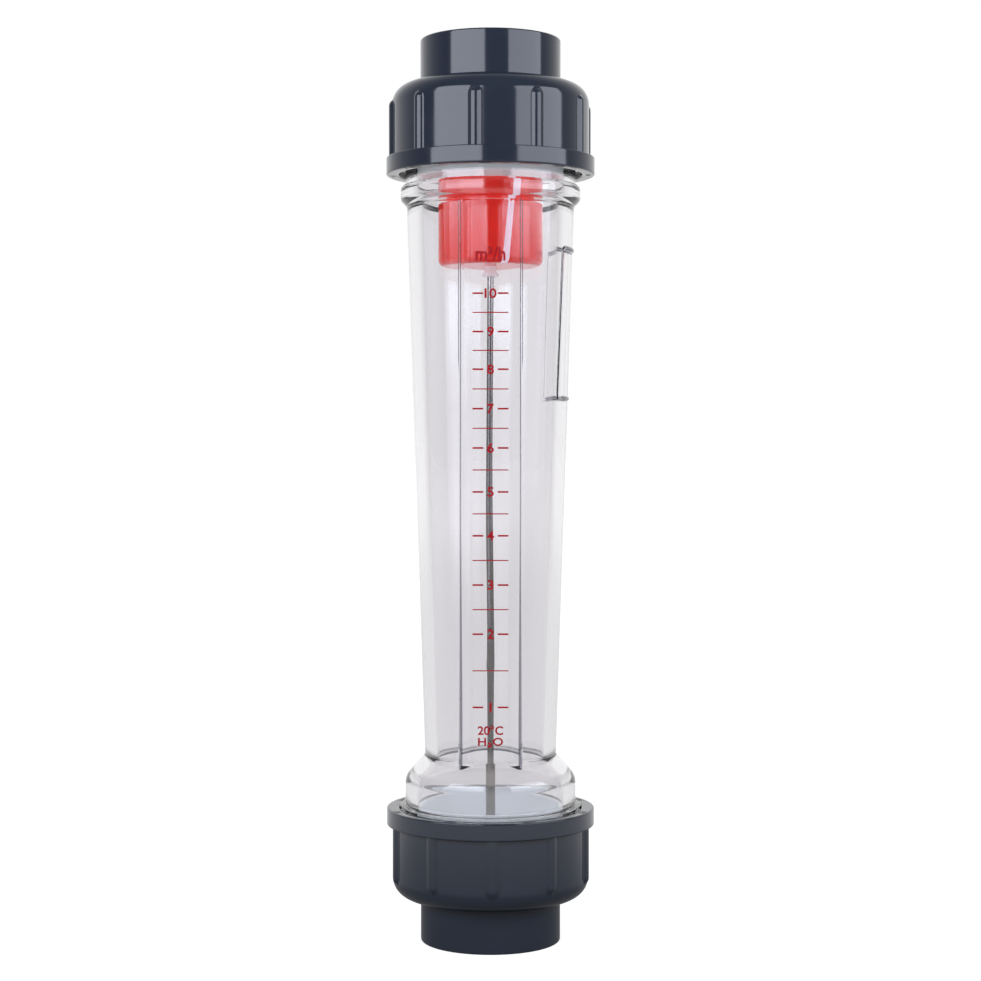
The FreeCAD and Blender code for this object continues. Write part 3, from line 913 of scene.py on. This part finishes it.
# %% Tube outline
thread_radius = 48.0
thread_root_radius = 46.4
thread_pitch = 4.0
thread_profile = (0.6, 1.9, 2.5, 3.8)   # foot, both sides of the crest and foot again, from the tube's end
lower_thread_rings = 7
upper_thread_rings = 6
lower_neck_foot = 72.3
lower_neck_top = 87.4
neck_radius = 45.1
upper_neck_radius = 44.9
taper_foot = 99.2
taper_bottom_radius = 34.7
taper_top = 388.2
taper_top_radius = 44.1
bead_foot = 391.6
bead_top = 399.4
bead_radius = 47.4
upper_neck_top = 407.0
bore_foot = 97.0
bore_foot_radius = 28.2
bore_top = 390.6
bore_top_radius = 36.0
bore_lead_out = 2.7
cavity_radius = 38.7
cavity_top = 86.5
guide_seat_radius = 40.0
guide_seat_depth = 4.0
tube_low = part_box("measuring_tube")[0][2] / MM
tube_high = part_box("measuring_tube")[1][2] / MM


def thread_rings(start, direction, count):
    """The outline of the thread from the tube's end inwards. direction is 1 up and -1 down."""
    points = [(thread_root_radius, start)]
    for i in range(count):
        foot, crest, crest_end, foot_end = (
            start + direction * (z + i * thread_pitch) for z in thread_profile)
        points += [(thread_root_radius, foot), (thread_radius, crest, 0.2),
                   (thread_radius, crest_end, 0.2), (thread_root_radius, foot_end)]
    return points


def tube_outline():
    lower_collar = [(thread_root_radius, lower_neck_foot - 0.9), (thread_radius, lower_neck_foot - 0.6, 0.25),
                    (thread_radius, lower_neck_foot, 0.25)]
    upper_collar = [(thread_radius, upper_neck_top, 0.25), (thread_radius, upper_neck_top + 0.6, 0.25)]
    outside = [
        (neck_radius, lower_neck_foot, 0.7), (neck_radius, lower_neck_top, 3.0),
        (taper_bottom_radius, taper_foot, 0.8), (taper_top_radius, taper_top, 0.8),
        (bead_radius, bead_foot, 1.2), (bead_radius, bead_top, 2.4),
        (upper_neck_radius, bead_top), (upper_neck_radius, upper_neck_top, 0.3),
    ]
    inside = [
        (guide_seat_radius, tube_high), (guide_seat_radius, tube_high - guide_seat_depth),
        (cavity_radius, tube_high - guide_seat_depth), (cavity_radius, bore_top + bore_lead_out, 0.6),
        (bore_top_radius, bore_top, 0.6), (bore_foot_radius, bore_foot, 0.6),
        (cavity_radius, cavity_top, 2.0), (cavity_radius, tube_low + guide_seat_depth),
        (guide_seat_radius, tube_low + guide_seat_depth),
    ]
    upper_thread = thread_rings(tube_high, -1, upper_thread_rings)[::-1]
    lower_thread = [(guide_seat_radius, tube_low)] + thread_rings(tube_low, 1, lower_thread_rings)
    return lower_thread + lower_collar + outside + upper_collar + upper_thread + inside


# %% [markdown]
# ## Clear tube: the flat face and the type plate
#
# The scale is printed on a flat face. At the top it cuts a little into the taper, and towards the foot it
# stands out as a thick strip that ends in the flare, so the tube gets a block joined on and another cut
# off. On the right side a thin raised bead frames the place of the type plate. It is drawn flat, as the
# mould maker cuts it, and then bent onto the taper. Booleans join these forms, because a clear piece may
# have no inner faces: light would bend at them.

# %% Flat face
panel_half_width = 15.4
panel_foot_distance = 35.1
panel_top_distance = 41.8
panel_wall = 1.3
panel_foot_depth = 1.2
panel_edge = 0.3
panel_draft = 0.28


def along_taper(z, at_foot, at_top):
    """A size at height z that grows evenly from the taper's foot to its top."""
    return at_foot + (z - taper_foot) / (taper_top - taper_foot) * (at_top - at_foot)


def panel_distance(z):
    """How far in front of the axis the flat face is."""
    return along_taper(z, panel_foot_distance, panel_top_distance)


def panel_block(outline, edge_round=0.0, draft=0.0):
    """A block across the flat face from an outline of (distance in front of the axis, height).

    edge_round rounds the sides of the first edge of the outline, and draft widens the block behind it.
    """
    bm = bmesh.new()
    corners = [bm.verts.new((-panel_half_width * MM, -d * MM, z * MM)) for d, z in outline]
    face = bm.faces.new(corners)
    front = [bm.edges.get(corners[:2])]
    wall = bmesh.ops.extrude_face_region(bm, geom=[face])["geom"]
    moved = [v for v in wall if isinstance(v, bmesh.types.BMVert)]
    front += [e for e in wall if isinstance(e, bmesh.types.BMEdge)
              and all(any((v.co - c.co).length < 1e-9 for c in corners[:2]) for v in e.verts)]
    bmesh.ops.translate(bm, verts=moved, vec=(2 * panel_half_width * MM, 0, 0))
    for vert in bm.verts:
        behind = panel_distance(vert.co.z / MM) + vert.co.y / MM
        vert.co.x *= 1 + draft * behind / panel_half_width
    if edge_round:
        bmesh.ops.bevel(bm, geom=front, offset=edge_round * MM, offset_type="OFFSET", segments=4,
                        profile=0.5, affect="EDGES", material=-1)
    bmesh.ops.recalc_face_normals(bm, faces=bm.faces)
    return as_object(bm, "panel_block")


# %% Type plate
plate_low = 286.3
plate_high = 366.1
plate_half_width = 22.8
plate_corner = 2.5
plate_rise = 0.8
plate_border = 1.8
plate_edge = 0.7
plate_sink = 1.0


def make_plate_bead():
    """The raised bead round the type plate, drawn flat across Y and Z and bent onto the taper."""
    bm = bmesh.new()
    outline = ((-plate_half_width, plate_low), (plate_half_width, plate_low),
               (plate_half_width, plate_high), (-plate_half_width, plate_high))
    corners = [bm.verts.new((-plate_sink * MM, y * MM, z * MM)) for y, z in outline]
    bm.faces.new(corners)
    bmesh.ops.bevel(bm, geom=corners, offset=plate_corner * MM, offset_type="OFFSET", segments=4, profile=0.5,
                    affect="VERTICES", material=-1)
    inner = bm.faces[:][0]
    bmesh.ops.inset_individual(bm, faces=[inner], thickness=plate_border * MM, use_even_offset=True)
    bmesh.ops.delete(bm, geom=[inner], context="FACES_ONLY")
    raised = bmesh.ops.extrude_face_region(bm, geom=list(bm.faces))["geom"]
    top = [v for v in raised if isinstance(v, bmesh.types.BMVert)]
    bmesh.ops.translate(bm, verts=top, vec=((plate_sink + plate_rise) * MM, 0, 0))
    bm.normal_update()
    rims = [e for e in raised if isinstance(e, bmesh.types.BMEdge)
            and any(abs(f.normal.x) < 0.5 for f in e.link_faces)]
    bmesh.ops.bevel(bm, geom=rims, offset=plate_edge * MM, offset_type="OFFSET", segments=4, profile=0.5,
                    affect="EDGES", material=-1)
    for y in range(-20, 21):
        bmesh.ops.bisect_plane(bm, geom=bm.verts[:] + bm.edges[:] + bm.faces[:], dist=1e-7,
                               plane_co=(0, y * MM, 0), plane_no=(0, 1, 0))
    for vert in bm.verts:
        surface = along_taper(vert.co.z / MM, taper_bottom_radius, taper_top_radius) * MM
        vert.co.x = math.sqrt((surface + vert.co.x) ** 2 - vert.co.y ** 2)
    bmesh.ops.recalc_face_normals(bm, faces=bm.faces)
    return as_object(bm, "plate_bead")


def make_tube():
    tube = as_object(turned(tube_outline()), "clear_measuring_tube")
    foot = bore_foot - panel_foot_depth
    hollow = bore_foot_radius + panel_foot_depth
    combine(tube, panel_block([
        (panel_distance(foot), foot), (panel_distance(taper_top), taper_top),
        (bore_top_radius + panel_wall, taper_top), (bore_foot_radius + panel_wall, bore_foot),
        (hollow + panel_wall, foot),
    ], panel_edge, panel_draft), "UNION")
    above = taper_foot + 1.0
    outside = taper_top_radius + 1.0
    combine(tube, panel_block([
        (panel_distance(above), above), (panel_distance(taper_top), taper_top), (outside, taper_top),
        (outside, above),
    ]), "DIFFERENCE")
    combine(tube, make_plate_bead(), "UNION")
    finish_piece(tube, clear_plastic, "tube", "clear_plastic", "measuring_tube", smooth_angle=14)


make_tube()

# %% [markdown]
# ## The printed scale
#
# The scale is dark red ink on the flat face: short strokes with a figure between them for each cubic
# metre an hour, and a thin line across for each half. The steps get shorter towards the top, where the
# tube is wider. Text objects give the figures. They are made a mesh, scaled to their height and given the
# thickness of a layer of ink, and all of it lies on the face's own slope.

# %% Print helpers
ink_lift = 0.01
ink_thickness = 0.03
text_weight = 0.022
text_widening = 1.12


def add_stroke(bm, x, z, width, height):
    place = Matrix.Translation((x * MM, 0, z * MM)) @ Matrix.Rotation(math.pi / 2, 4, "X")
    bmesh.ops.create_grid(bm, x_segments=1, y_segments=1, size=0.5,
                          matrix=place @ Matrix.Diagonal((width * MM, height * MM, 1, 1)))


def add_text(bm, text, z, height, width=None):
    """Text centred on the flat face with its middle at height z, at its natural width or a given one."""
    curve = bpy.data.curves.new("figure", "FONT")
    curve.body = text
    curve.offset = text_weight
    source = bpy.data.objects.new("figure", curve)
    bpy.context.collection.objects.link(source)
    mesh = bpy.data.meshes.new_from_object(source.evaluated_get(bpy.context.evaluated_depsgraph_get()))
    xs = [v.co.x for v in mesh.vertices]
    ys = [v.co.y for v in mesh.vertices]
    middle = Vector(((min(xs) + max(xs)) / 2, (min(ys) + max(ys)) / 2, 0))
    upright = height * MM / (max(ys) - min(ys))
    across = width * MM / (max(xs) - min(xs)) if width else text_widening * upright
    size = Matrix.Diagonal((across, upright, 1, 1))
    turn = Matrix.Rotation(math.pi / 2, 4, "X")
    mesh.transform(Matrix.Translation((0, 0, z * MM)) @ turn @ size @ Matrix.Translation(-middle))
    bm.from_mesh(mesh)
    bpy.data.meshes.remove(mesh)
    bpy.data.objects.remove(source)


def finish_print(bm, name):
    moved = bmesh.ops.extrude_face_region(bm, geom=list(bm.faces))["geom"]
    front = [v for v in moved if isinstance(v, bmesh.types.BMVert)]
    bmesh.ops.translate(bm, verts=front, vec=(0, -ink_thickness * MM, 0))
    for vert in bm.verts:
        vert.co.y -= (panel_distance(vert.co.z / MM) + ink_lift) * MM
    bmesh.ops.recalc_face_normals(bm, faces=bm.faces)
    finish_piece(as_object(bm, name), scale_ink, "tube", "red_plastic")


# %% Scale
figure_heights = (127.9, 165.7, 191.0, 216.3, 238.8, 261.3, 281.4, 301.5, 320.7, 340.2)
figure_size = 5.0
mark_inner = 3.7
mark_outer = 9.2
mark_thickness = 0.88
half_mark_thickness = 0.55
notes = (("m³/h", 360.3, 7.2, 15.3), ("20°C", 116.0, 4.8, 13.1), ("H₂O", 109.7, 5.0, 12.9))


def make_scale():
    bm = bmesh.new()
    for value, z in enumerate(figure_heights, start=1):
        for side in (-1, 1):
            add_stroke(bm, side * (mark_inner + mark_outer) / 2, z, mark_outer - mark_inner, mark_thickness)
        add_text(bm, str(value), z, figure_size)
    for below, above in zip(figure_heights, figure_heights[1:]):
        add_stroke(bm, 0, (below + above) / 2, 2 * mark_outer, half_mark_thickness)
    for note in notes:
        add_text(bm, *note)
    finish_print(bm, "printed_scale")


make_scale()
